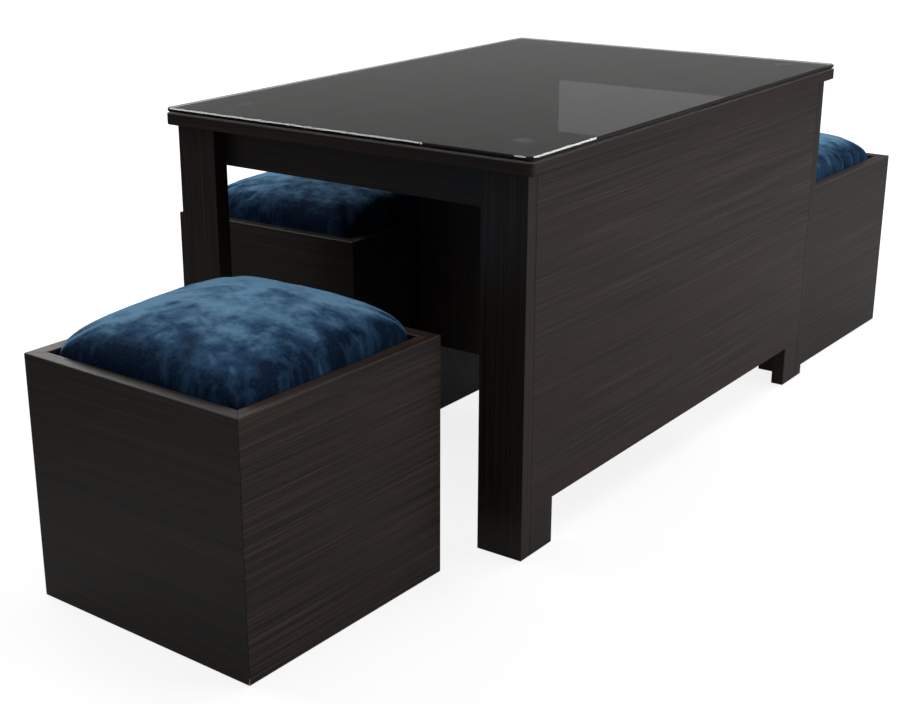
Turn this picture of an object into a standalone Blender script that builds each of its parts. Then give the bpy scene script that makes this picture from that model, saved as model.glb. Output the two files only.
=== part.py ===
"""Coffee table with three ottomans that stand in and beside its bays.

The table is a laminated board frame: four legs, a side panel that closes one long side,
end aprons, a rail along the open long side and a core of two partitions and a divider.
A glass pane lies on clear pads over the top. Each ottoman is a mitred box whose seat, a
board with a crowned cushion, rests on two battens and lifts out.

Metres, +Z up. Y runs along the table, X across it, and the side panel is at +X.
The origin is the centre of the whole set's footprint, on the floor.
"""

import math

import bmesh
import bpy
from mathutils import Matrix, Vector

# Ottoman boxes
OTTOMAN_WIDTH = 0.344
OTTOMAN_HEIGHT = 0.3135
OTTOMAN_WALL = 0.019
OTTOMAN_WALL_ARRIS = 0.0008
OTTOMAN_FLOOR_GAP = 0.006
OTTOMAN_BOTTOM_THICKNESS = 0.008
FELT_WIDTH = 0.014
FELT_THICKNESS = 0.001
FELT_ARRIS = 0.0002
FELT_END_GAP = 0.022

# Seats
SEAT_DROP = 0.045
SEAT_BOARD_THICKNESS = 0.012
SEAT_SIDE_GAP = 0.0015
BATTEN_SIZE = 0.020
BATTEN_END_GAP = 0.024

# Cushions: the crown and the shoulder stand over the rim, the foot is drawn in, and each
# filling has settled by its own amount
CUSHION_SIDE_GAP = 0.0010
CUSHION_CROWN = 0.0585
CUSHION_SETTLE = {"front": 0.0, "side": 0.003, "rear": 0.013}
CUSHION_SHOULDER_RISE = 0.0065
CUSHION_FOOT_TUCK = 0.008
CUSHION_FLATNESS = 3.6
CUSHION_ROUNDNESS = 0.56
CUSHION_CORNER_FLATNESS = 16.0
CUSHION_CELLS = 9
CUSHION_SIDE_CELLS = 3

# Boards and the gap that every joint keeps
BOARD = 0.020
BOARD_ARRIS = 0.0004
JOINT_GAP = 0.0003

# Top: slab, clear pads and glass
SLAB_THICKNESS = 0.016
SLAB_CORNER_RADIUS = 0.0075
SLAB_ARRIS = 0.0012
SLAB_ARRIS_SEGMENTS = 2
SLAB_OVERHANG = 0.012
GLASS_THICKNESS = 0.006
GLASS_INSET = 0.0008
GLASS_CORNER_RADIUS = 0.007
GLASS_ARRIS = 0.0018
GLASS_ARRIS_SEGMENTS = 1
PAD_THICKNESS = 0.0015
PAD_DIAMETER = 0.028
PAD_INSET_X = 0.068
PAD_INSET_NEAR = 0.087
PAD_INSET_FAR = 0.045

# Legs and the boards between them: the rails clear the ottomans' cushions
LEG_FACE_WIDTH = 0.067
LEG_DEPTH = 0.073
PANEL_FLOOR_GAP = 0.065
RAIL_CUSHION_GAP = 0.076
APRON_HEIGHT = 0.053
APRON_THICKNESS = 0.016

# Bays: an ottoman fills each end bay, the side bay takes part of one, and the core between
# the end bays stops all three
BAY_END_CLEARANCE = 0.001
BAY_SIDE_CLEARANCE = 0.005
SIDE_BAY_DEPTH = 0.156
CORE_LENGTH = 0.186
PARTITION_FLOOR_GAP = 0.122

# Floor glides under the table
GLIDE_HEIGHT = 0.001
GLIDE_DIAMETER = 0.016
GLIDE_TIP_DIAMETER = 0.014
DIVIDER_GLIDE_INSET = 0.024

# Where the ottomans stand: clear of the leg, end, divider or side that each lines up with
FRONT_LEG_GAP = 0.0007
FRONT_END_GAP = 0.0722
SIDE_DIVIDER_GAP = 0.0047
SIDE_OFFSET = 0.0790
REAR_SIDE_INSET = 0.0129
REAR_END_GAP = 0.0271
TURNS_DEG = {"front": -1.4, "side": 1.7, "rear": -0.8}

# How finely round pieces are cut
ROUND_PROFILE_SHARE = 0.5
CORNER_SEGMENTS = 6
DISC_SIDES = 24
SMOOTH_ANGLE_DEG = 30.0

# Places worked out from the sizes above: the table comes to 596 by 900 mm, 524.5 mm high
FRAME_WIDTH = SIDE_BAY_DEPTH + OTTOMAN_WIDTH + BAY_SIDE_CLEARANCE + LEG_FACE_WIDTH
FRAME_LENGTH = CORE_LENGTH + 2 * (OTTOMAN_WIDTH + BAY_END_CLEARANCE)
TABLE_WIDTH = FRAME_WIDTH + 2 * SLAB_OVERHANG
TABLE_LENGTH = FRAME_LENGTH + 2 * SLAB_OVERHANG
FRAME_X = FRAME_WIDTH / 2
FRAME_Y = FRAME_LENGTH / 2
INNER_X = FRAME_X - BOARD
INNER_Y = FRAME_Y - BOARD
LEG_EDGE_X = FRAME_X - LEG_FACE_WIDTH
DIVIDER_FACE_X = SIDE_BAY_DEPTH - FRAME_X
PARTITION_FACE_Y = CORE_LENGTH / 2
RAIL_UNDERSIDE = OTTOMAN_HEIGHT + CUSHION_CROWN + RAIL_CUSHION_GAP
SLAB_UNDERSIDE = RAIL_UNDERSIDE + APRON_HEIGHT
SLAB_TOP = SLAB_UNDERSIDE + SLAB_THICKNESS
GLASS_UNDERSIDE = SLAB_TOP + PAD_THICKNESS
FRAME_TOP = SLAB_UNDERSIDE - JOINT_GAP
LEG_BOTTOM = GLIDE_HEIGHT + JOINT_GAP
BOX_BOTTOM = FELT_THICKNESS + JOINT_GAP
BOX_INNER = OTTOMAN_WIDTH / 2 - OTTOMAN_WALL
SEAT_TOP = OTTOMAN_HEIGHT - SEAT_DROP
SEAT_UNDERSIDE = SEAT_TOP - SEAT_BOARD_THICKNESS


# Materials

def material(name, colour, roughness, transmission=0.0, ior=1.5):
    """One Principled material for one sub-part."""
    made = bpy.data.materials.new(name)
    made.use_nodes = True
    shader = made.node_tree.nodes["Principled BSDF"]
    shader.inputs["Base Color"].default_value = (*colour, 1.0)
    shader.inputs["Roughness"].default_value = roughness
    shader.inputs["Transmission Weight"].default_value = transmission
    shader.inputs["IOR"].default_value = ior
    return made


def wenge(name):
    """Dark laminate with a fine grain."""
    return material(name, (0.028, 0.022, 0.020), 0.42)


def plywood(name):
    """Bare board that the cushion hides."""
    return material(name, (0.45, 0.33, 0.20), 0.7)


def glass(name):
    """Clear float glass."""
    return material(name, (0.9, 0.95, 0.93), 0.02, 1.0)


def clear_plastic(name):
    """Soft clear pad."""
    return material(name, (0.85, 0.87, 0.88), 0.25, 0.6)


def black_plastic(name):
    """Moulded floor glide."""
    return material(name, (0.02, 0.02, 0.02), 0.5)


def felt(name):
    """Dark felt strip."""
    return material(name, (0.03, 0.03, 0.03), 0.95)


def velvet(name):
    """Crushed blue velvet."""
    return material(name, (0.035, 0.12, 0.24), 0.85)


# Building blocks

def clear_scene():
    """Start from an empty scene."""
    for old in list(bpy.data.objects):
        bpy.data.objects.remove(old, do_unlink=True)


def group_for(name):
    """The collection that holds the parts."""
    group = bpy.data.collections.new(name)
    bpy.context.scene.collection.children.link(group)
    return group


def add_object(name, mesh_data, place, parent, finish):
    """Link one finished mesh as a named part."""
    made = bpy.data.objects.new(name, mesh_data)
    made.location = place
    made.parent = parent
    made.data.materials.append(finish(name + "_finish"))
    PARTS.objects.link(made)
    return made


def add_empty(name, place, parent=None, turn=0.0):
    """An empty that carries a group of parts."""
    made = bpy.data.objects.new(name, None)
    made.location = place
    made.rotation_euler = (0.0, 0.0, turn)
    made.parent = parent
    PARTS.objects.link(made)
    return made


def box_mesh(size):
    """A box of the given size, centred on its own origin."""
    shape = bmesh.new()
    bmesh.ops.create_cube(shape, size=1.0, matrix=Matrix.Diagonal((*size, 1.0)))
    return shape


def finish_mesh(name, shape):
    """Turn a bmesh into mesh data."""
    bmesh.ops.recalc_face_normals(shape, faces=shape.faces)
    made = bpy.data.meshes.new(name)
    shape.to_mesh(made)
    shape.free()
    return made


def edges_along(shape, axis):
    """The edges that run along one axis: 0 is X, 1 is Y and 2 is Z."""
    others = [direction for direction in range(3) if direction != axis]
    found = []
    for edge in shape.edges:
        run = edge.verts[1].co - edge.verts[0].co
        if abs(run[axis]) > max(abs(run[other]) for other in others):
            found.append(edge)
    return found


def add_board(name, low, high, parent, finish=wenge, arris=BOARD_ARRIS):
    """A square-cut board between two corners, with every edge eased by the arris."""
    low = Vector(low)
    high = Vector(high)
    shape = box_mesh(high - low)
    bmesh.ops.bevel(shape, geom=shape.edges[:], offset=arris, segments=1, affect="EDGES")
    return add_object(name, finish_mesh(name, shape), (low + high) / 2, parent, finish)


def add_rounded_sheet(name, size, corner_radius, arris, segments, place, parent, finish):
    """A flat sheet with rounded corners in plan and an eased edge above and below."""
    shape = box_mesh(size)
    bmesh.ops.bevel(
        shape,
        geom=edges_along(shape, 2),
        offset=corner_radius,
        segments=CORNER_SEGMENTS,
        profile=ROUND_PROFILE_SHARE,
        affect="EDGES",
    )
    upright = set(edges_along(shape, 2))
    rim = [edge for edge in shape.edges if edge not in upright]
    bmesh.ops.bevel(
        shape,
        geom=rim,
        offset=arris,
        segments=segments,
        profile=ROUND_PROFILE_SHARE,
        affect="EDGES",
    )
    return add_object(name, finish_mesh(name, shape), place, parent, finish)


def add_disc(name, diameter, tip_diameter, height, place, parent, finish):
    """A round pad or glide that stands on its place and narrows towards the bottom."""
    shape = bmesh.new()
    bmesh.ops.create_cone(
        shape,
        cap_ends=True,
        segments=DISC_SIDES,
        radius1=tip_diameter / 2,
        radius2=diameter / 2,
        depth=height,
    )
    middle = Vector(place) + Vector((0.0, 0.0, height / 2))
    made = add_object(name, finish_mesh(name, shape), middle, parent, finish)
    made.data.shade_smooth()
    made.data.set_sharp_from_angle(angle=math.radians(SMOOTH_ANGLE_DEG))
    return made


def add_mitred_wall(name, turn, parent):
    """One wall of an ottoman's box, with its ends cut at 45 degrees, turned to its side."""
    height = OTTOMAN_HEIGHT - BOX_BOTTOM
    shape = box_mesh((OTTOMAN_WIDTH - 2 * JOINT_GAP, OTTOMAN_WALL, height))
    for vert in shape.verts:
        if vert.co.y > 0.0:
            vert.co.x -= math.copysign(OTTOMAN_WALL, vert.co.x)
    rim = [edge for edge in edges_along(shape, 0) if edge.verts[0].co.z > 0.0]
    bmesh.ops.bevel(shape, geom=rim, offset=OTTOMAN_WALL_ARRIS, segments=1, affect="EDGES")
    place = Vector((0.0, -(OTTOMAN_WIDTH - OTTOMAN_WALL) / 2, BOX_BOTTOM + height / 2))
    place.rotate(Matrix.Rotation(turn, 3, "Z"))
    made = add_object(name, finish_mesh(name, shape), place, parent, wenge)
    made.rotation_euler = (0.0, 0.0, turn)
    return made


# The cushion's form

def eased(share):
    """Move a grid share so that the grid's lines crowd towards the edges."""
    return math.sin(share * math.pi / 2)


def corner_share(u, v):
    """How far the square outline is drawn in at its corners, as a share."""
    flat = CUSHION_CORNER_FLATNESS
    reach = max(abs(u), abs(v))
    if reach == 0.0:
        return 1.0
    side = min(abs(u), abs(v)) / reach
    return (1.0 + side ** flat) ** (-1.0 / flat)


def crown_share(u, v):
    """Height of the crown over the square seat, 1 at the middle and 0 at the edge."""
    across = 1.0 - abs(u) ** CUSHION_FLATNESS
    along = 1.0 - abs(v) ** CUSHION_FLATNESS
    return max(across * along, 0.0) ** CUSHION_ROUNDNESS


def cushion_mesh(name, crown):
    """A coarse cage of a crowned pad: flat below, full at the shoulder, in at the foot."""
    shape = box_mesh((2.0, 2.0, 2.0))
    level = edges_along(shape, 0) + edges_along(shape, 1)
    cuts = CUSHION_CELLS - 1
    bmesh.ops.subdivide_edges(shape, edges=level, cuts=cuts, use_grid_fill=True)
    upright = edges_along(shape, 2)
    cuts = CUSHION_SIDE_CELLS - 1
    bmesh.ops.subdivide_edges(shape, edges=upright, cuts=cuts, use_grid_fill=True)
    foot = SEAT_TOP + JOINT_GAP
    shoulder = OTTOMAN_HEIGHT + CUSHION_SHOULDER_RISE
    rise = crown - CUSHION_SHOULDER_RISE
    for vert in shape.verts:
        u = eased(vert.co.x)
        v = eased(vert.co.y)
        up_share = (1.0 + vert.co.z) / 2
        tuck_share = 1.0 - math.sqrt(max(1.0 - (1.0 - up_share) ** 2, 0.0))
        half_width = BOX_INNER - CUSHION_SIDE_GAP - CUSHION_FOOT_TUCK * tuck_share
        half_width *= corner_share(u, v)
        height = foot + up_share * (shoulder - foot + rise * crown_share(u, v))
        vert.co = (u * half_width, v * half_width, height)
    return finish_mesh(name, shape)


# The table

def build_top(table):
    """Slab, four clear pads and the glass pane."""
    add_rounded_sheet(
        "table_top",
        (TABLE_WIDTH, TABLE_LENGTH, SLAB_THICKNESS),
        SLAB_CORNER_RADIUS,
        SLAB_ARRIS,
        SLAB_ARRIS_SEGMENTS,
        (0.0, 0.0, SLAB_UNDERSIDE + SLAB_THICKNESS / 2),
        table,
        wenge,
    )
    add_rounded_sheet(
        "glass_pane",
        (TABLE_WIDTH - 2 * GLASS_INSET, TABLE_LENGTH - 2 * GLASS_INSET, GLASS_THICKNESS),
        GLASS_CORNER_RADIUS,
        GLASS_ARRIS,
        GLASS_ARRIS_SEGMENTS,
        (0.0, 0.0, GLASS_UNDERSIDE + GLASS_THICKNESS / 2),
        table,
        glass,
    )
    pad_x = TABLE_WIDTH / 2 - PAD_INSET_X
    near_y = -TABLE_LENGTH / 2 + PAD_INSET_NEAR
    far_y = TABLE_LENGTH / 2 - PAD_INSET_FAR
    spots = [(-pad_x, near_y), (pad_x, near_y), (pad_x, far_y), (-pad_x, far_y)]
    for number, (x, y) in enumerate(spots, 1):
        add_disc(
            f"glass_pad_{number}",
            PAD_DIAMETER,
            PAD_DIAMETER,
            PAD_THICKNESS - 2 * JOINT_GAP,
            (x, y, SLAB_TOP + JOINT_GAP),
            table,
            clear_plastic,
        )


def add_glide(name, x, y, table):
    """A floor glide under a board of the table."""
    tip = GLIDE_TIP_DIAMETER
    add_disc(name, GLIDE_DIAMETER, tip, GLIDE_HEIGHT, (x, y, 0.0), table, black_plastic)


def build_legs(table):
    """Face boards at the two ends, with a side board or a foot block behind each."""
    numbers = {(-1, -1): 1, (1, -1): 2, (1, 1): 3, (-1, 1): 4}
    for (side_x, side_y), number in numbers.items():
        across = sorted((side_x * LEG_EDGE_X, side_x * FRAME_X))
        along = sorted((side_y * INNER_Y, side_y * FRAME_Y))
        low = (across[0], along[0], LEG_BOTTOM)
        high = (across[1], along[1], FRAME_TOP)
        add_board(f"leg_face_{number}", low, high, table)
        glide_x = side_x * (FRAME_X - LEG_FACE_WIDTH / 2)
        glide_y = side_y * (FRAME_Y - BOARD / 2)
        add_glide(f"leg_glide_{number}", glide_x, glide_y, table)
        end = 1 if side_y < 0 else 2
        name = f"leg_return_{end}" if side_x < 0 else f"foot_block_{end}"
        top = FRAME_TOP if side_x < 0 else PANEL_FLOOR_GAP - JOINT_GAP
        across = sorted((side_x * INNER_X, side_x * FRAME_X))
        along = sorted((side_y * (FRAME_Y - LEG_DEPTH), side_y * (INNER_Y - JOINT_GAP)))
        low = (across[0], along[0], LEG_BOTTOM)
        high = (across[1], along[1], top)
        add_board(name, low, high, table)


def build_frame(table):
    """Side panel, end aprons and the rail of the open long side."""
    panel_end = INNER_Y - JOINT_GAP
    low = (INNER_X, -panel_end, PANEL_FLOOR_GAP)
    high = (FRAME_X, panel_end, FRAME_TOP)
    add_board("side_panel", low, high, table)
    apron_end = INNER_X - JOINT_GAP
    apron_back = panel_end - APRON_THICKNESS
    for name, side in (("apron_near", -1), ("apron_far", 1)):
        along = sorted((side * apron_back, side * panel_end))
        low = (-apron_end, along[0], RAIL_UNDERSIDE)
        high = (apron_end, along[1], FRAME_TOP)
        add_board(name, low, high, table)
    rail_end = apron_back - JOINT_GAP
    low = (-apron_end, -rail_end, RAIL_UNDERSIDE)
    high = (-apron_end + APRON_THICKNESS, rail_end, FRAME_TOP)
    add_board("side_rail", low, high, table)


def build_core(table):
    """Two partitions and the divider that stop the ottomans and carry the slab."""
    partition_back = PARTITION_FACE_Y - BOARD
    for name, side in (("partition_near", -1), ("partition_far", 1)):
        along = sorted((side * partition_back, side * PARTITION_FACE_Y))
        low = (DIVIDER_FACE_X, along[0], PARTITION_FLOOR_GAP)
        high = (INNER_X - JOINT_GAP, along[1], FRAME_TOP)
        add_board(name, low, high, table)
    divider_end = partition_back - JOINT_GAP
    low = (DIVIDER_FACE_X, -divider_end, LEG_BOTTOM)
    high = (DIVIDER_FACE_X + BOARD, divider_end, FRAME_TOP)
    add_board("divider", low, high, table)
    glide_y = divider_end - DIVIDER_GLIDE_INSET
    for number, side in ((1, -1), (2, 1)):
        add_glide(f"divider_glide_{number}", DIVIDER_FACE_X + BOARD / 2, side * glide_y, table)


# The ottomans

def build_box(label, ottoman):
    """Four mitred walls, the bottom panel, seat battens and felt strips."""
    turns = {"front": 0.0, "right": math.pi / 2, "back": math.pi, "left": -math.pi / 2}
    for side, turn in turns.items():
        add_mitred_wall(f"{label}_ottoman_{side}_wall", turn, ottoman)
    reach = BOX_INNER - JOINT_GAP
    low = (-reach, -reach, OTTOMAN_FLOOR_GAP)
    high = (reach, reach, OTTOMAN_FLOOR_GAP + OTTOMAN_BOTTOM_THICKNESS)
    add_board(f"{label}_ottoman_bottom", low, high, ottoman, plywood)
    batten_top = SEAT_UNDERSIDE - JOINT_GAP
    batten_end = BOX_INNER - BATTEN_END_GAP
    felt_end = OTTOMAN_WIDTH / 2 - FELT_END_GAP
    felt_middle = (OTTOMAN_WIDTH - OTTOMAN_WALL) / 2
    for side, name in ((-1, "left"), (1, "right")):
        across = sorted((side * (reach - BATTEN_SIZE), side * reach))
        low = (across[0], -batten_end, batten_top - BATTEN_SIZE)
        high = (across[1], batten_end, batten_top)
        add_board(f"{label}_ottoman_batten_{name}", low, high, ottoman, plywood)
        low = (side * felt_middle - FELT_WIDTH / 2, -felt_end, 0.0)
        high = (side * felt_middle + FELT_WIDTH / 2, felt_end, FELT_THICKNESS)
        add_board(f"{label}_ottoman_felt_{name}", low, high, ottoman, felt, FELT_ARRIS)


def build_seat(label, seat):
    """The lift-out seat: a board with the crowned cushion on it."""
    reach = BOX_INNER - SEAT_SIDE_GAP
    low = (-reach, -reach, SEAT_UNDERSIDE)
    high = (reach, reach, SEAT_TOP)
    add_board(f"{label}_seat_board", low, high, seat, plywood)
    name = f"{label}_cushion"
    shape = cushion_mesh(name, CUSHION_CROWN - CUSHION_SETTLE[label])
    cushion = add_object(name, shape, (0.0, 0.0, 0.0), seat, velvet)
    smooth = cushion.modifiers.new("Soft form", "SUBSURF")
    smooth.levels = 1
    smooth.render_levels = 1
    cushion.data.shade_smooth()


def build_ottoman(label, place, turn, parent):
    """One ottoman, turned about its middle, with its lift-out seat."""
    ottoman = add_empty(f"{label}_ottoman_axis", place, parent, turn)
    build_box(label, ottoman)
    seat = add_empty(f"{label}_seat_axis", (0.0, 0.0, 0.0), ottoman)
    build_seat(label, seat)


# The whole set

def box_reach(turn):
    """Half the length and width that a turned ottoman takes up."""
    return OTTOMAN_WIDTH / 2 * (math.cos(turn) + abs(math.sin(turn)))


def ottoman_places():
    """The middle of each ottoman from the table's middle, with its turn."""
    turns = {label: math.radians(turn) for label, turn in TURNS_DEG.items()}
    reach = {label: box_reach(turn) for label, turn in turns.items()}
    front_x = LEG_EDGE_X - FRONT_LEG_GAP - reach["front"]
    front_y = -FRAME_Y - FRONT_END_GAP - reach["front"]
    side_x = DIVIDER_FACE_X - SIDE_DIVIDER_GAP - reach["side"]
    rear_x = FRAME_X - REAR_SIDE_INSET - reach["rear"]
    rear_y = FRAME_Y + REAR_END_GAP + reach["rear"]
    return {
        "front": (front_x, front_y, turns["front"]),
        "side": (side_x, -SIDE_OFFSET, turns["side"]),
        "rear": (rear_x, rear_y, turns["rear"]),
    }


def footprint_middle(places):
    """The middle of the floor area that the table and the ottomans take up."""
    xs = [-TABLE_WIDTH / 2, TABLE_WIDTH / 2]
    ys = [-TABLE_LENGTH / 2, TABLE_LENGTH / 2]
    for x, y, turn in places.values():
        reach = box_reach(turn)
        xs += [x - reach, x + reach]
        ys += [y - reach, y + reach]
    return (min(xs) + max(xs)) / 2, (min(ys) + max(ys)) / 2


clear_scene()
PARTS = group_for("coffee_table_with_ottomans")
PLACES = ottoman_places()
MIDDLE_X, MIDDLE_Y = footprint_middle(PLACES)
TABLE = add_empty("table_axis", (-MIDDLE_X, -MIDDLE_Y, 0.0))
build_top(TABLE)
build_legs(TABLE)
build_frame(TABLE)
build_core(TABLE)
for ottoman_label, (place_x, place_y, ottoman_turn) in PLACES.items():
    build_ottoman(ottoman_label, (place_x, place_y, 0.0), ottoman_turn, TABLE)
bpy.context.view_layer.update()
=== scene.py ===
"""Coffee table with three box ottomans: finishes, cushions, studio and camera."""

import math
from functools import partial

import bpy
import numpy as np
from mathutils import Matrix, Vector


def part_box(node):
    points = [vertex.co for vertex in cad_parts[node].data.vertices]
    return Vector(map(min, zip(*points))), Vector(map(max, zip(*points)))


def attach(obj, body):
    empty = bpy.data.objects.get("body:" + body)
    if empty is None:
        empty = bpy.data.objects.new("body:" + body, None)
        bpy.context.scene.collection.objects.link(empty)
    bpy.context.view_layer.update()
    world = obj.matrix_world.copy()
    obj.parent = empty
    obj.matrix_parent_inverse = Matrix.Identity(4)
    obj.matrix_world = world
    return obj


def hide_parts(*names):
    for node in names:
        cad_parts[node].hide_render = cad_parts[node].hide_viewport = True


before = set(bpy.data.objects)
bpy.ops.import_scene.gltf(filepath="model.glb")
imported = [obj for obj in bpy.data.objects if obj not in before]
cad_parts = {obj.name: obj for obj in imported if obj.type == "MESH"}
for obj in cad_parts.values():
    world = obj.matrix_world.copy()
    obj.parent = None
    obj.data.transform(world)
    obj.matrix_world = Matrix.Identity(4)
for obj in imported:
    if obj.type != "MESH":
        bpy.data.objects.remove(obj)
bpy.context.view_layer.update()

MM = 0.001

# Middle of the table on the floor, from the middle of the whole set
TABLE_MIDDLE = Vector((0.09538, 0.02432, 0.0))

# Each ottoman's turn on the floor, in degrees, and how even its long walls are printed
TURNS_DEG = {"front": -1.4, "side": 1.7, "rear": -0.8}
LONG_WALL_EVENNESS = {"front": 0.0, "side": 0.4, "rear": 0.45}


# Finishes

def linear(hex_colour):
    """An sRGB hex colour as linear light, with full alpha."""
    shares = [int(hex_colour[i : i + 2], 16) / 255.0 for i in (1, 3, 5)]
    light = [s / 12.92 if s <= 0.04045 else ((s + 0.055) / 1.055) ** 2.4 for s in shares]
    return (*light, 1.0)


def add_node(tree, kind, inputs=(), **settings):
    """Add one node and give its outputs. Its inputs are listed in order, or by name or
    number, and each takes a value or another node's output."""
    node = tree.nodes.new("ShaderNode" + kind)
    for key, value in settings.items():
        setattr(node, key, value)
    keyed = inputs if isinstance(inputs, dict) else dict(enumerate(inputs))
    for key, value in keyed.items():
        if isinstance(value, bpy.types.NodeSocket):
            tree.links.new(value, node.inputs[key])
        else:
            node.inputs[key].default_value = value
    return node.outputs


def new_finish(name):
    """A new material whose tree is empty, and the call that adds nodes to it."""
    made = bpy.data.materials.new(name)
    made.use_nodes = True
    made.node_tree.nodes.clear()
    return made, partial(add_node, made.node_tree)


def mottle(add, place, lump_mm, detail=2.0, roughness=0.5, distortion=0.0):
    """Uneven tone from 0 to 1, whose lumps repeat about every lump_mm along X, Y and Z."""
    scale = [1.0 / (size * MM) for size in lump_mm]
    inputs = {
        "Vector": add("Mapping", {"Vector": place, "Scale": scale})[0],
        "Scale": 1.0,
        "Detail": detail,
        "Roughness": roughness,
        "Distortion": distortion,
    }
    return add("TexNoise", inputs)["Fac"]


def lay_tints(add, ground, tints):
    """Lay hex tints over a ground colour, one after another. Each comes in as its pattern
    goes from low to high, up to its most."""
    colour = linear(ground)
    for pattern, low, high, most, tint in tints:
        share = add("MapRange", (pattern, low, high, 0.0, most))[0]
        inputs = {0: share, 6: colour, 7: linear(tint)}  # 6, 7 and 2 are its colours
        colour = add("Mix", inputs, data_type="RGBA")[2]
    return colour


# Dark wenge laminate: printed paper under melamine, pressed against a satin plate. Fine
# straight streaks, a few of them redder or greyer, and a soft sheen.

GRAIN_MM = {  # along the grain and across it
    "band": (1400.0, 46.0),
    "streak": (520.0, 4.2),
    "fine": (320.0, 1.8),  # the printed pores are finer, too fine to show
}
GRAIN_DETAIL = {"band": 2.0, "streak": 3.0, "fine": 2.0}
GRAIN_ROUGHNESS = 0.55
WAVE_LENGTH_MM = 300.0
WAVE_HEIGHT_MM = 1.8
WENGE_DARK = "#100a07"
WENGE_MID = "#241a13"
WENGE_LIGHT = "#4b392d"
WENGE_RED = "#341a14"
WENGE_GREY = "#191a16"
WENGE_EVEN = "#1e1c19"
GREY_MOST = 0.25
SATIN = (0.40, 0.33)  # roughness in the darkest and the palest streaks
PRINT_RELIEF_MM = 0.03
END_FACE = 0.7  # a normal's Y on the ends of a slab
FLAT_FACE = 0.96  # a normal's largest part, short of which a face is an arris
ARRIS_DULLED = 0.22  # sanding takes the press gloss off an arris


def grain_size(layer, axis):
    """Sizes along X, Y and Z for a layer of grain that runs along one axis."""
    along, across = GRAIN_MM[layer]
    return [along if axis == index else across for index in range(3)]


def wenge(
    name, axis, turn_deg=0.0, end_axis=None, redness=0.45, evenness=0.0, even=WENGE_EVEN
):
    """Laminate whose grain runs along an axis of the turned piece: 0 is X, 1 Y and 2 Z.
    A slab's edge band turns the grain to end_axis on the faces that look along Y. Evenness
    fades the streaks towards the colour even."""
    made, add = new_finish(name)
    source = add("TexCoord")
    turn = (0.0, 0.0, -math.radians(turn_deg))
    turned = add("Mapping", {"Vector": source["Object"], "Rotation": turn})[0]
    inputs = {"Vector": turned, "Scale": 1.0 / (WAVE_LENGTH_MM * MM), "Detail": 1.0}
    wave = add("TexNoise", inputs)["Color"]
    centred = add("VectorMath", (wave, (0.5, 0.5, 0.5)), operation="SUBTRACT")[0]
    inputs = {0: centred, "Scale": WAVE_HEIGHT_MM * MM}
    shift = add("VectorMath", inputs, operation="SCALE")[0]
    waved = add("VectorMath", (turned, shift), operation="ADD")[0]
    facing = add("SeparateXYZ", [source["Normal"]])
    faced = [add("Math", [facing[way]], operation="ABSOLUTE")[0] for way in "XYZ"]

    def layer(kind):
        """One layer of the print, as a tone from 0 to 1."""
        look = GRAIN_DETAIL[kind], GRAIN_ROUGHNESS
        main = mottle(add, waved, grain_size(kind, axis), *look)
        if end_axis is None:
            return main
        end = mottle(add, waved, grain_size(kind, end_axis), *look)
        is_end = add("Math", (faced[1], END_FACE), operation="GREATER_THAN")[0]
        is_main = add("Math", (1.0, is_end), operation="SUBTRACT")[0]
        kept = add("Math", (main, is_main), operation="MULTIPLY")[0]
        return add("Math", (end, is_end, kept), operation="MULTIPLY_ADD")[0]

    band, streak, fine = (layer(kind) for kind in ("band", "streak", "fine"))
    tints = [
        (streak, 0.36, 0.62, 1.0, WENGE_MID),
        (fine, 0.47, 0.66, 1.0, WENGE_LIGHT),
        (band, 0.54, 0.70, redness, WENGE_RED),
        (band, 0.44, 0.30, GREY_MOST, WENGE_GREY),
        (1.0, 0.0, 1.0, evenness, even),
    ]
    colour = lay_tints(add, WENGE_DARK, tints)
    flat = add("Math", (faced[0], faced[1]), operation="MAXIMUM")[0]
    flat = add("Math", (flat, faced[2]), operation="MAXIMUM")[0]
    eased = add("Math", (flat, FLAT_FACE), operation="LESS_THAN")[0]
    satin = add("MapRange", (streak, 0.3, 0.7, *SATIN))[0]
    dulled = add("Math", (eased, ARRIS_DULLED, satin), operation="MULTIPLY_ADD")[0]
    height = add("Math", (fine, streak), operation="ADD")[0]
    inputs = {"Height": height, "Distance": PRINT_RELIEF_MM * MM, "Strength": 1.0}
    relief = add("Bump", inputs)["Normal"]
    inputs = {"Base Color": colour, "Roughness": dulled, "Normal": relief}
    add("OutputMaterial", {"Surface": add("BsdfPrincipled", inputs)["BSDF"]})
    return made


def float_glass():
    """Clear float glass, 6 mm, its arrises ground flat and polished: smooth, and so faintly
    green that only the long way in from an edge shows it, where the glass looks black."""
    made, add = new_finish("float_glass")
    dimming = add("VolumeAbsorption", {"Color": linear("#d9efe4"), "Density": 9.0})["Volume"]
    inputs = {
        "Base Color": linear("#ffffff"),
        "Roughness": 0.0,
        "IOR": 1.52,
        "Transmission Weight": 1.0,
    }
    clear = add("BsdfPrincipled", inputs)["BSDF"]
    add("OutputMaterial", {"Surface": clear, "Volume": dimming})
    return made


def clear_silicone():
    """Soft clear bumper: cast silicone, a little hazy, as good as unseen on dark wood."""
    made, add = new_finish("clear_silicone")
    haze = mottle(add, add("TexCoord")["Object"], (6.0, 6.0, 3.0))
    inputs = {
        "Base Color": lay_tints(add, "#e4e8ea", [(haze, 0.0, 1.0, 1.0, "#f4f6f6")]),
        "Roughness": 0.12,
        "IOR": 1.41,
        "Transmission Weight": 0.93,
    }
    add("OutputMaterial", {"Surface": add("BsdfPrincipled", inputs)["BSDF"]})
    return made


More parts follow.
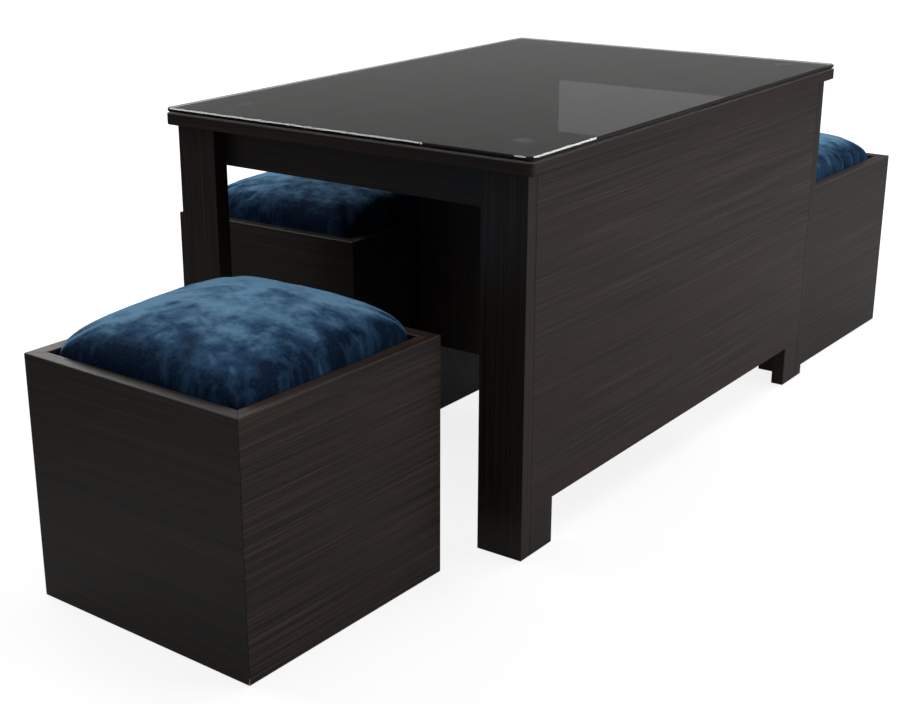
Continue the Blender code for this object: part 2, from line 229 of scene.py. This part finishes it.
def dark_glue():
    """Tinted glue in a joint: cured hard, near black, with a dull skin."""
    made, add = new_finish("dark_glue")
    skin = mottle(add, add("TexCoord")["Object"], (2.0, 2.0, 6.0))
    colour = lay_tints(add, "#0d0a09", [(skin, 0.0, 1.0, 1.0, "#1a1512")])
    inputs = {"Base Color": colour, "Roughness": 0.6}
    add("OutputMaterial", {"Surface": add("BsdfPrincipled", inputs)["BSDF"]})
    return made


def moulded_nylon():
    """Black floor glide: moulded, with a matt texture, drawn coarser than it is."""
    made, add = new_finish("moulded_nylon")
    grit = mottle(add, add("TexCoord")["Object"], (0.8, 0.8, 0.8), detail=3.0)
    relief = add("Bump", {"Height": grit, "Distance": 0.03 * MM, "Strength": 1.0})["Normal"]
    colour = lay_tints(add, "#121212", [(grit, 0.0, 1.0, 1.0, "#1e1e1f")])
    inputs = {"Base Color": colour, "Roughness": 0.55, "Normal": relief}
    add("OutputMaterial", {"Surface": add("BsdfPrincipled", inputs)["BSDF"]})
    return made


def pressed_felt():
    """Black wool felt: matt, with short fibres lying every way, in tufts coarse enough to
    show."""
    made, add = new_finish("pressed_felt")
    place = add("TexCoord")["Object"]
    fibre = mottle(add, place, (1.2, 1.2, 0.5), detail=4.0, roughness=0.7, distortion=1.5)
    inputs = {
        "Base Color": lay_tints(add, "#0e0e0f", [(fibre, 0.0, 1.0, 1.0, "#2a2a2c")]),
        "Roughness": 0.95,
        "Sheen Weight": 0.4,
        "Normal": add("Bump", {"Height": fibre, "Distance": 0.25 * MM, "Strength": 1.0})[0],
    }
    add("OutputMaterial", {"Surface": add("BsdfPrincipled", inputs)["BSDF"]})
    return made


def birch_ply():
    """Bare birch plywood: sanded, pale, with a straight faint figure and thin plies."""
    made, add = new_finish("birch_ply")
    place = add("TexCoord")["Object"]
    figure = mottle(add, place, (9.0, 160.0, 3.0), detail=3.0, roughness=0.6)
    pores = mottle(add, place, (0.9, 14.0, 0.9))
    tints = [(figure, 0.3, 0.7, 1.0, "#cfae80"), (pores, 0.55, 0.75, 0.5, "#8d6a42")]
    inputs = {
        "Base Color": lay_tints(add, "#b58f60", tints),
        "Roughness": 0.62,
        "Normal": add("Bump", {"Height": pores, "Distance": 0.08 * MM, "Strength": 1.0})[0],
    }
    add("OutputMaterial", {"Surface": add("BsdfPrincipled", inputs)["BSDF"]})
    return made


# Crushed velvet: woven pile pressed flat in clouds, pale where the nap leans one way and deep
# navy where it leans the other. Painted shade darkens the faces turned to +X and -Y.

CLOUD_MM = (70.0, 60.0, 90.0)
CRUSH_MM = (24.0, 20.0, 60.0)
HANG_MM = (8.0, 8.0, 80.0)
TUFT_MM = (1.7, 1.7, 1.7)  # real tufts are finer, too fine to show
PILE_RELIEF_MM = 1.5
VELVET_DEEP = "#0a1c33"
VELVET_MID = "#264462"
VELVET_PALE = "#5f86a3"
VELVET_TUFT = "#46789f"
MID_TONE = 0.4  # the tone at which the velvet is VELVET_MID
TUFT_MOST = 0.16
CLOUD_LEAN = 0.42
CRUSH_LEAN = 0.34
PAINTED_LIGHT_BY_NORMAL_Y = 0.31  # painted light per unit of the normal's Y
PAINTED_LIGHT_BY_NORMAL_X = -0.29  # painted light per unit of the normal's X, which is painted shade as it is below 0
NAP_HANG = 0.17
# Painted shade and light by how a face is turned: the deepest painted shade, the most painted
# light, and the painted shade added on the steep far sides
PAINTED_SHADE_DEEPEST = -0.20
PAINTED_LIGHT_MOST = 0.015
PAINTED_SHADE_FAR_SIDES = 0.13
NAP_TONES = (0.184, 0.414)  # the lean of the deepest nap and of the palest
# a lift in tone for each seat
SEAT_TONE_LIFT = {"front": 0.007, "side": 0.005, "rear": 0.055}


def crushed_velvet(label):
    """One seat's velvet. The lean of its nap is the clouds and the crush, each times its
    share, plus a lift for each seat, plus painted shade by how its face is turned: deep on the
    near sides, which face +X and -Y, less deep on the steep far ones, with faint painted light
    where a face tilts a little to +Y or -X. Down the sides it hangs in short streaks. Single
    tufts catch the light as specks, and a soft sheen runs along every turn."""
    made, add = new_finish(f"crushed_velvet_{label}")
    source = add("TexCoord")
    place = source["Object"]
    cloud = mottle(add, place, CLOUD_MM, detail=6.0, roughness=0.60, distortion=0.25)
    crush = mottle(add, place, CRUSH_MM, detail=6.0, roughness=0.62, distortion=0.20)
    streak = mottle(add, place, HANG_MM, detail=3.0, roughness=0.55, distortion=0.2)
    nap = mottle(add, place, TUFT_MM, detail=1.0)
    facing = add("SeparateXYZ", [source["Normal"]])
    # Painted shade and light from the face's normal: shade on faces towards +X and -Y and on
    # steep far faces, faint light on faces tilted a little to +Y or -X
    away = add("Math", (facing["X"], PAINTED_LIGHT_BY_NORMAL_X), operation="MULTIPLY")[0]
    away = add("Math", (facing["Y"], PAINTED_LIGHT_BY_NORMAL_Y, away), operation="MULTIPLY_ADD")[0]
    turned = add("MapRange", (away, 0.07, 0.25, 0.0, PAINTED_SHADE_FAR_SIDES))[0]
    away = add("Math", (away, PAINTED_LIGHT_MOST), operation="MINIMUM")[0]
    away = add("Math", (away, turned), operation="SUBTRACT")[0]
    away = add("Math", (away, PAINTED_SHADE_DEEPEST), operation="MAXIMUM")[0]
    # this seat's lift in tone
    inputs = (cloud, CLOUD_LEAN, SEAT_TONE_LIFT[label])
    lean = add("Math", inputs, operation="MULTIPLY_ADD")[0]
    lean = add("Math", (crush, CRUSH_LEAN, lean), operation="MULTIPLY_ADD")[0]
    # add the painted shade and light to the lean
    lean = add("Math", (lean, away), operation="ADD")[0]
    hang = add("Math", (streak, 0.5), operation="SUBTRACT")[0]
    hang = add("Math", (hang, NAP_HANG), operation="MULTIPLY")[0]
    steep = add("MapRange", (facing["Z"], 0.98, 0.70))[0]
    lean = add("Math", (hang, steep, lean), operation="MULTIPLY_ADD")[0]
    tone = add("MapRange", (lean, *NAP_TONES))[0]
    tints = [
        (tone, 0.0, MID_TONE, 1.0, VELVET_MID),
        (tone, MID_TONE, 1.0, 1.0, VELVET_PALE),
        (nap, 0.50, 0.80, TUFT_MOST, VELVET_TUFT),
    ]
    height = add("Math", (crush, 0.3, cloud), operation="MULTIPLY_ADD")[0]
    height = add("Math", (nap, 0.10, height), operation="MULTIPLY_ADD")[0]
    relief = {"Height": height, "Distance": PILE_RELIEF_MM * MM, "Strength": 1.0}
    inputs = {
        "Base Color": lay_tints(add, VELVET_DEEP, tints),
        "Roughness": 0.85,
        "Specular IOR Level": 0.06,
        "Sheen Weight": 0.10,
        "Sheen Roughness": 0.30,
        "Sheen Tint": linear("#6fa6d4"),
        "Normal": add("Bump", relief)["Normal"],
    }
    add("OutputMaterial", {"Surface": add("BsdfPrincipled", inputs)["BSDF"]})
    return made


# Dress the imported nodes

def dress_node(name, finish):
    """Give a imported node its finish."""
    mesh_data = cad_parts[name].data
    mesh_data.materials.clear()
    mesh_data.materials.append(finish)


def dress_table():
    """Laminate with its grain along each board, glass, pads and glides."""
    along_x = wenge("wenge_laminate_x", 0, evenness=0.6)
    along_y = wenge("wenge_laminate_y", 1, redness=0.6, evenness=0.12, even="#271a12")
    upright = wenge("wenge_laminate_z", 2, evenness=0.5, even="#1f1a16")
    slab = wenge(
        "wenge_laminate_slab", 1, end_axis=0, redness=0.95, evenness=0.5, even="#1f100c"
    )
    glide = moulded_nylon()
    finishes = {
        "table_top": slab,
        "side_panel": along_y,
        "side_rail": along_y,
        "apron": along_x,
        "leg_face": upright,
        "leg_return": upright,
        "foot_block": upright,
        "partition": upright,
        "divider": upright,
        "leg_glide": glide,
        "divider_glide": glide,
        "glass_pane": float_glass(),
        "glass_pad": clear_silicone(),
    }
    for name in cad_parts:
        starts = [start for start in finishes if name.startswith(start)]
        if starts:
            dress_node(name, finishes[max(starts, key=len)])


def dress_ottomans():
    """Laminate round each box, bare ply inside it and felt under it."""
    ply = birch_ply()
    felt = pressed_felt()
    inner = ("ottoman_bottom", "ottoman_batten_left", "ottoman_batten_right", "seat_board")
    for label, turn_deg in TURNS_DEG.items():
        evenness = LONG_WALL_EVENNESS[label]
        across = wenge(f"wenge_laminate_{label}_x", 0, turn_deg, evenness=0.6)
        along = wenge(f"wenge_laminate_{label}_y", 1, turn_deg, evenness=evenness)
        walls = {"front": across, "back": across, "left": along, "right": along}
        for side, finish in walls.items():
            dress_node(f"{label}_ottoman_{side}_wall", finish)
        for piece in inner:
            dress_node(f"{label}_{piece}", ply)
        for side in ("left", "right"):
            dress_node(f"{label}_ottoman_felt_{side}", felt)


# Glue in the joints

GLUE_WIDTH = 0.00026
GLUE_CUT = 0.00004
GLUE_INSET = 0.0008
FOOT_JOINT = 0.0003
MITRE_INNER = 0.1536
MITRE_OUTER = 0.1710


def glue_bead(low, high):
    """A thin bar from one corner to another, all four long edges cut off: a section of
    eight points in X and Y, once at each end."""
    half = (np.array(high) - np.array(low)) / 2.0
    middle = (np.array(high) + np.array(low)) / 2.0
    sign_x = np.array([1, 1, 1, -1, -1, -1, -1, 1])
    sign_y = np.array([-1, 1, 1, 1, 1, -1, -1, -1])
    along = np.array([1, 1, 0, 0, 1, 1, 0, 0]) * GLUE_CUT
    across = np.array([0, 0, 1, 1, 0, 0, 1, 1]) * GLUE_CUT
    section = np.stack([sign_x * (half[0] - across), sign_y * (half[1] - along)], axis=-1)
    ends = np.repeat([[-half[2]], [half[2]]], 8, axis=0)
    points = np.concatenate([np.tile(section, (2, 1)), ends], axis=-1) + middle
    step = np.arange(8)
    after = np.roll(step, -1)
    sides = np.stack([step, after, after + 8, step + 8], axis=-1).tolist()
    return points, sides + [step[::-1].tolist(), (step + 8).tolist()]


def add_glue(name, beads, body):
    """Dark glue lines of one body, as one piece."""
    points, faces = [], []
    for bead_points, bead_faces in beads:
        start = sum(len(done) for done in points)
        points.append(bead_points)
        faces += [[start + index for index in face] for face in bead_faces]
    piece = mesh_object(name, np.concatenate(points), faces)
    piece.data.materials.append(dark_glue())
    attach(piece, body)


def fill_joints():
    """Glue behind the mitres of the boxes and where the foot blocks meet the side panel."""
    for label, turn_deg in TURNS_DEG.items():
        low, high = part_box(f"{label}_ottoman_bottom")
        middle = np.array([(low[0] + high[0]) / 2.0, (low[1] + high[1]) / 2.0, 0.0])
        wall_low, wall_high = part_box(f"{label}_ottoman_front_wall")
        points, faces = glue_bead(
            (MITRE_INNER * math.sqrt(2.0), -GLUE_WIDTH / 2.0, wall_low[2] + GLUE_INSET),
            (MITRE_OUTER * math.sqrt(2.0), GLUE_WIDTH / 2.0, wall_high[2] - GLUE_INSET),
        )
        beads = []
        for corner in range(4):
            turn = Matrix.Rotation(math.radians(turn_deg + 45.0 + 90.0 * corner), 3, "Z")
            beads.append((points @ np.array(turn).T + middle, faces))
        add_glue(f"{label}_ottoman_mitre_glue", beads, f"{label}_ottoman")
    beads = []
    for block in ("foot_block_1", "foot_block_2"):
        low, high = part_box(block)
        level = high[2] + FOOT_JOINT / 2.0
        beads.append(glue_bead(
            (low[0] + GLUE_INSET, low[1] + GLUE_INSET, level - GLUE_WIDTH / 2.0),
            (high[0] - GLUE_INSET, high[1] - GLUE_INSET, level + GLUE_WIDTH / 2.0),
        ))
    add_glue("foot_block_glue", beads, "table")


# Cushions. Each form gives, in metres, how far the shoulder lies over the rim, how much the
# shelf, the dome and the lean add, and the gap to the box. Flatness, roundness, spread and
# corner are powers.

OPENING_HALF = 0.153
RIM_HEIGHT = 0.3135
SEAT_HEIGHT = 0.2688
FOOT_TUCK = 0.008
CUSHIONS = {
    "front": {
        "shoulder": -0.0120,
        "shelf": 0.0453,
        "flatness": 6.0,
        "roundness": 0.279,
        "dome": 0.0215,
        "spread": 1.15,
        "lean": 0.0045,
        "corner": 15.3,
        "gap": 0.0006,
    },
    "side": {
        "shoulder": -0.0100,
        "shelf": 0.0476,
        "flatness": 6.35,
        "roundness": 0.208,
        "dome": 0.0154,
        "spread": 0.98,
        "lean": 0.0,
        "corner": 15.2,
        "gap": 0.0006,
    },
    "rear": {
        "shoulder": -0.0119,
        "shelf": 0.0472,
        "flatness": 6.75,
        "roundness": 0.339,
        "dome": 0.0098,
        "spread": 0.97,
        "lean": 0.0,
        "corner": 12.0,
        "gap": 0.0007,
    },
}
ANGLE_STEPS = 192
FOOT_RINGS = 10
SIDE_RINGS = 9
CROWN_RINGS = 36
VOXEL = 0.0045
SIM_FRAMES = 20
SIM_PRESSURE = 4.0
SWELL_CAP = 0.0045
SWELL_ROOM = (0.0008, 0.0008, 0.0030)  # how much smaller the pad starts on each side
PULL_HELD = 0.85  # share of a point's inward move that the filling holds back
DENT = 0.00022  # metres, for waves that add up to 1
DENT_LENGTHS = (0.120, 0.083, 0.061, 0.044)
DENT_TURN = 1.9  # radians from one wave's way to the next one's
DENT_BEND = 1.7  # wavelengths over which a wave bends
PHASE_START = 0.7
PHASE_STEP = 2.1


def crown_height(form):
    """How far the middle of a pad stands over the rim."""
    return form["shoulder"] + form["shelf"] + form["dome"]


def pad_surface(form):
    """Rings from the foot's middle, out and up the sides and over the crown. On each ring a
    rounded square is drawn by angle. Where u and v run from -1 to 1 across the pad, its top
    is a shelf of (1 - u^f)(1 - v^f) to a power, a dome of (1 - u^2)(1 - v^2) to another, and
    a slight lean along v."""
    angle = np.linspace(0.0, 2.0 * math.pi, ANGLE_STEPS, endpoint=False)
    reach = np.maximum(np.abs(np.cos(angle)), np.abs(np.sin(angle)))
    square = np.stack([np.cos(angle), np.sin(angle)]) / reach
    side = np.abs(square).min(axis=0)
    drawn = (1.0 + side ** form["corner"]) ** (-1.0 / form["corner"])
    foot = np.linspace(0.0, 1.0, FOOT_RINGS)[1:]
    up = np.linspace(0.0, 1.0, SIDE_RINGS)[1:]
    inward = np.cos(np.linspace(0.0, math.pi / 2.0, CROWN_RINGS))[1:-1]
    ring_scale = np.concatenate([foot, np.ones_like(up), inward])
    ring_up = np.concatenate([np.zeros_like(foot), up, np.ones_like(inward)])
    u = ring_scale[:, None] * square[0]
    v = ring_scale[:, None] * square[1]
    fall = (1.0 - np.abs(u) ** form["flatness"]) * (1.0 - np.abs(v) ** form["flatness"])
    share = np.maximum(fall, 0.0) ** form["roundness"]
    dome = np.maximum((1.0 - u * u) * (1.0 - v * v), 0.0) ** form["spread"]
    tuck = 1.0 - np.sqrt(np.maximum(1.0 - (1.0 - ring_up[:, None]) ** 2, 0.0))
    half = (OPENING_HALF - form["gap"] - FOOT_TUCK * tuck) * drawn
    shoulder = RIM_HEIGHT + form["shoulder"] - SEAT_HEIGHT
    crown = form["shelf"] * share + form["dome"] * dome + form["lean"] * v * np.sqrt(share)
    height = SEAT_HEIGHT + ring_up[:, None] * (shoulder + crown)
    rings = np.stack([u * half, v * half, np.broadcast_to(height, u.shape)], axis=-1)
    top = (0.0, 0.0, RIM_HEIGHT + crown_height(form))
    points = np.concatenate([[(0.0, 0.0, SEAT_HEIGHT)], rings.reshape(-1, 3), [top]])
    count = len(ring_scale)
    ids = 1 + np.arange(count * ANGLE_STEPS).reshape(count, ANGLE_STEPS)
    ahead = np.roll(ids, -1, axis=1)
    quads = np.stack([ids[:-1], ahead[:-1], ahead[1:], ids[1:]], axis=-1).reshape(-1, 4)
    first = np.stack([np.zeros_like(ids[0]), ahead[0], ids[0]], axis=-1)
    last = np.stack([np.full_like(ids[-1], len(points) - 1), ids[-1], ahead[-1]], axis=-1)
    return points, quads.tolist() + first.tolist() + last.tolist()


def mesh_object(name, points, faces):
    """A new object at the origin with its place in its mesh."""
    mesh_data = bpy.data.meshes.new(name)
    mesh_data.from_pydata(points.tolist(), [], faces)
    mesh_data.update()
    made = bpy.data.objects.new(name, mesh_data)
    bpy.context.scene.collection.objects.link(made)
    return made


def read_points(mesh_data):
    """All points of a mesh as one array."""
    flat = np.empty(len(mesh_data.vertices) * 3)
    mesh_data.vertices.foreach_get("co", flat)
    return flat.reshape(-1, 3)


def write_points(mesh_data, points):
    """Put moved points back into a mesh."""
    mesh_data.vertices.foreach_set("co", np.ascontiguousarray(points, dtype=float).ravel())
    mesh_data.update()


def bake_modifiers(piece):
    """Replace a piece's mesh with what its modifiers give at this frame."""
    view = bpy.context.evaluated_depsgraph_get()
    baked = bpy.data.meshes.new_from_object(piece.evaluated_get(view))
    piece.modifiers.clear()
    piece.data = baked


def remesh(piece):
    """Even small quads all over, for cloth."""
    even = piece.modifiers.new("Even quads", "REMESH")
    even.mode = "VOXEL"
    even.voxel_size = VOXEL
    even.use_smooth_shade = True
    bpy.context.view_layer.update()
    bake_modifiers(piece)


def swell(piece):
    """Blow the cover up a little over its filling, each point held to a cap. The filling
    keeps the corners from being drawn in."""
    before = read_points(piece.data)
    cloth = piece.modifiers.new("Cover", "CLOTH")
    cloth.settings.quality = 6
    cloth.settings.mass = 0.25
    cloth.settings.tension_stiffness = 18.0
    cloth.settings.compression_stiffness = 18.0
    cloth.settings.bending_stiffness = 0.6
    cloth.settings.use_pressure = True
    cloth.settings.uniform_pressure_force = SIM_PRESSURE
    cloth.settings.effector_weights.gravity = 0.0
    cloth.point_cache.frame_start = 1
    cloth.point_cache.frame_end = SIM_FRAMES
    for step in range(1, SIM_FRAMES + 1):
        bpy.context.scene.frame_set(step)
    bake_modifiers(piece)
    bpy.context.scene.frame_set(1)
    move = read_points(piece.data) - before
    outward = np.sign(before[:, :2])
    move[:, :2] -= PULL_HELD * np.minimum(move[:, :2] * outward, 0.0) * outward
    length = np.linalg.norm(move, axis=1, keepdims=True)
    held = SWELL_CAP * np.tanh(length / SWELL_CAP) / np.maximum(length, 1e-9)
    write_points(piece.data, before + move * held)


def undulate(points, phase):
    """Soft dents that a filling leaves: four waves of 44 to 120 mm, added up. Each is the
    sine of the way along it plus a sine of the way across it, and goes from -1 to 1."""
    x, y = points[:, 0], points[:, 1]
    waves = np.zeros(len(points))
    for step, length in enumerate(DENT_LENGTHS):
        way = phase + DENT_TURN * step
        along = x * math.cos(way) + y * math.sin(way)
        across = y * math.cos(way) - x * math.sin(way)
        bend = np.sin(2.0 * math.pi * across / (DENT_BEND * length) + way)
        waves += np.sin(2.0 * math.pi * along / length + bend + 2.0 * way)
    return waves


def make_cushion(label, phase):
    """A crowned velvet pad that fills its box's opening."""
    form = CUSHIONS[label]
    points, faces = pad_surface(form)
    piece = mesh_object(f"{label}_velvet_cushion", points, faces)
    remesh(piece)
    start = read_points(piece.data)
    middle = np.array([0.0, 0.0, (SEAT_HEIGHT + RIM_HEIGHT + crown_height(form)) / 2.0])
    reach = np.abs(start - middle).max(axis=0)
    shrunk = 1.0 - np.array(SWELL_ROOM) / reach
    write_points(piece.data, middle + (start - middle) * shrunk)
    swell(piece)
    points = read_points(piece.data)
    above = np.clip((points[:, 2] - RIM_HEIGHT) / crown_height(form), 0.0, 1.0)
    points[:, 2] += DENT * undulate(points, phase) * above
    limit = OPENING_HALF - form["gap"]
    points[:, :2] = np.clip(points[:, :2], -limit, limit)
    points[:, 2] = np.maximum(points[:, 2], SEAT_HEIGHT)
    turn = Matrix.Rotation(math.radians(TURNS_DEG[label]), 3, "Z")
    low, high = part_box(f"{label}_ottoman_bottom")
    place = (Vector(low) + Vector(high)) / 2.0
    points = points @ np.array(turn).T + np.array([place.x, place.y, 0.0])
    write_points(piece.data, points)
    smooth = piece.modifiers.new("Smooth cover", "SUBSURF")
    smooth.levels = 1
    smooth.render_levels = 1
    piece.data.materials.clear()
    piece.data.materials.append(crushed_velvet(label))
    piece.data.shade_smooth()
    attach(piece, f"{label}_seat")
    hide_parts(f"{label}_cushion")


# Studio. Each lamp has its place, the spot that it faces, its width, how far it reaches
# below and above its place, and its brightness, where 1 is white.

LEFT_WINDOW = ((-2.08, -1.06, 2.72), (0.05, -0.40, 0.52))
BOARD = ((-1.55, 3.5, 1.245), (-1.55, 0.0, 1.245))
LAMPS = {
    "left_window": (*LEFT_WINDOW, 1.4, (-0.40, 0.556), 6.5),
    "left_window_top": (*LEFT_WINDOW, 1.4, (0.850, 0.886), 6.5),
    "rear_window": ((1.06, 2.72, 2.75), (0.35, -0.30, 0.52), 1.8, (-0.452, 0.55), 7.5),
    "right_window": ((3.2, 1.3, 1.5), (0.2, 0.2, 0.3), 1.4, (-0.7, 0.7), 4.5),
    "overhead_softbox": ((0.3, 0.4, 3.2), (0.1, 0.0, 0.3), 2.0, (-1.0, 1.0), 1.8),
    "back_left_window": ((-2.46, 0.65, 2.10), (0.14, -0.30, 0.30), 1.4, (-0.50, 0.50), 5.0),
    "board": (*BOARD, 0.80, (-0.106, 0.106), 0.075),
    "board_edge": (*BOARD, 0.80, (-0.106, -0.056), 0.065),
}
FLOOR_RADIUS = 40.0
FLOOR_STEPS = 96
SHADOW_ENDS = (0.9, 1.9)  # metres from the middle over which the floor goes to white
SHADOW_GLOW = 0.84
FLOOR_PAINTED_SHADE_X = (-0.75, -0.05)  # X over which the floor's painted shade fades out towards the closed side
# the floor's glow in the set's gloss, dimmer towards -X as painted shade
FLOOR_MIRRORED = (0.02, 0.08)


def camera():
    """A 59 mm lens on a 36 mm sensor, fitted to the measured corners of the set. The frame is
    a crop from a wider one, so its middle lies off the lens axis by the shift. The angles
    are in radians."""
    yaw, pitch, roll = -0.65298, -0.33336, -0.00873
    eye = Vector((1.21350, -1.90669, 0.87850)) + TABLE_MIDDLE
    ahead = Vector((
        math.cos(pitch) * math.sin(yaw),
        math.cos(pitch) * math.cos(yaw),
        math.sin(pitch),
    ))
    level = Vector((math.cos(yaw), -math.sin(yaw), 0.0))
    above = level.cross(ahead)
    right = math.cos(roll) * level + math.sin(roll) * above
    top = math.cos(roll) * above - math.sin(roll) * level
    lens = bpy.data.cameras.new("Camera")
    lens.sensor_width = 36.0
    lens.lens = 59.179
    lens.shift_x = 0.06913
    lens.shift_y = 0.00443
    lens.clip_end = 200.0
    made = bpy.data.objects.new("Camera", lens)
    turn = Matrix((right, top, -ahead)).transposed().to_4x4()
    made.matrix_world = Matrix.Translation(eye) @ turn
    bpy.context.scene.collection.objects.link(made)
    bpy.context.scene.camera = made


def softbox(name, place, aim, width, upright, brightness):
    """A lamp that faces a spot from a place. It reaches half its width to both sides of the
    place and from one upright length to the other above it, and glows at a brightness,
    where 1 is white. The camera doesn't see it."""
    lamp = bpy.data.lights.new(name, "AREA")
    lamp.shape = "RECTANGLE"
    lamp.size = width
    lamp.size_y = upright[1] - upright[0]
    lamp.energy = brightness * math.pi * lamp.size * lamp.size_y
    turn = (Vector(aim) - Vector(place)).to_track_quat("-Z", "Y")
    middle = Vector((0.0, (upright[0] + upright[1]) / 2.0, 0.0))
    made = bpy.data.objects.new(name, lamp)
    made.location = Vector(place) + turn @ middle
    made.rotation_euler = turn.to_euler()
    made.visible_camera = False
    bpy.context.scene.collection.objects.link(made)


def light_the_set():
    """Windows at the left, behind, at the right and at the back left, a soft one overhead,
    and a pale board behind the set that the glass mirrors."""
    for name, lamp in LAMPS.items():
        softbox(name, *lamp)


def ray_kinds(add):
    """What looks at a surface: 1 for the camera, straight or through glass, and 1 for a
    reflection."""
    path = add("LightPath")
    mirrored = add("Math", (path["Glossy Depth"], 1.0), operation="MINIMUM")[0]
    through = add("Math", (path["Is Transmission Ray"], mirrored), operation="SUBTRACT")[0]
    direct = add("Math", (path["Is Camera Ray"], through), operation="MAXIMUM")[0]
    gloss = add("Math", (path["Is Glossy Ray"], mirrored), operation="MAXIMUM")[0]
    return direct, gloss


def studio_floor():
    """A pale matt floor that looks white, keeps the set's shadow within a metre or so of it
    and shows only faintly in the set's own gloss. Towards the open side, at -X, its gloss and
    bounce get painted shade. It is a disc whose rim is drawn by angle."""
    angle = np.linspace(0.0, 2.0 * math.pi, FLOOR_STEPS, endpoint=False)
    rim = FLOOR_RADIUS * np.stack([np.cos(angle), np.sin(angle), 0.0 * angle], axis=-1)
    floor = mesh_object("studio_floor", rim, [list(range(FLOOR_STEPS))])
    made, add = new_finish("matt_white_floor")
    direct, gloss = ray_kinds(add)
    place = add("TexCoord")["Object"]
    away = add("VectorMath", [place], operation="LENGTH")["Value"]
    rightward = add("SeparateXYZ", [place])["X"]
    # painted shade: the matt colour is darker towards the open side, -X, and plain to the
    # camera
    tints = [(rightward, *FLOOR_PAINTED_SHADE_X, 1.0, "#898989"), (direct, 0.0, 1.0, 1.0, "#8b8b8b")]
    matt = add("BsdfDiffuse", {"Color": lay_tints(add, "#5f5f5f", tints)})["BSDF"]
    seen = add("MapRange", (away, *SHADOW_ENDS, SHADOW_GLOW, 1.0))[0]
    seen = add("Math", (direct, seen), operation="MULTIPLY")[0]
    # its glow in the gloss is dimmer towards -X too, as painted shade
    mirrored = add("MapRange", (rightward, *FLOOR_PAINTED_SHADE_X, *FLOOR_MIRRORED))[0]
    glow = add("Math", (gloss, mirrored, seen), operation="MULTIPLY_ADD")[0]
    inputs = {"Color": linear("#ffffff"), "Strength": glow}
    lit = add("AddShader", (matt, add("Emission", inputs)[0]))[0]
    add("OutputMaterial", {"Surface": lit})
    floor.data.materials.append(made)


def studio_room():
    """White behind the set, and a dim grey room round it that its gloss and glass mirror."""
    world = bpy.data.worlds.new("studio_room")
    bpy.context.scene.world = world
    world.use_nodes = True
    world.node_tree.nodes.clear()
    add = partial(add_node, world.node_tree)
    direct, _ = ray_kinds(add)
    height = add("SeparateXYZ", [add("TexCoord")["Generated"]])["Z"]
    tints = [
        (height, 0.115, 0.20, 1.0, "#585858"),
        (height, 0.20, 0.34, 1.0, "#8a8a8a"),
        (direct, 0.0, 1.0, 1.0, "#ffffff"),
    ]
    colour = lay_tints(add, "#757575", tints)
    sky = add("Background", {"Color": colour, "Strength": 1.0})["Background"]
    add("OutputWorld", {"Surface": sky})


dress_table()
dress_ottomans()
fill_joints()
for number, cushion_label in enumerate(CUSHIONS):
    make_cushion(cushion_label, PHASE_START + PHASE_STEP * number)
camera()
light_the_set()
studio_floor()
studio_room()
bpy.context.scene.view_settings.view_transform = "Standard"
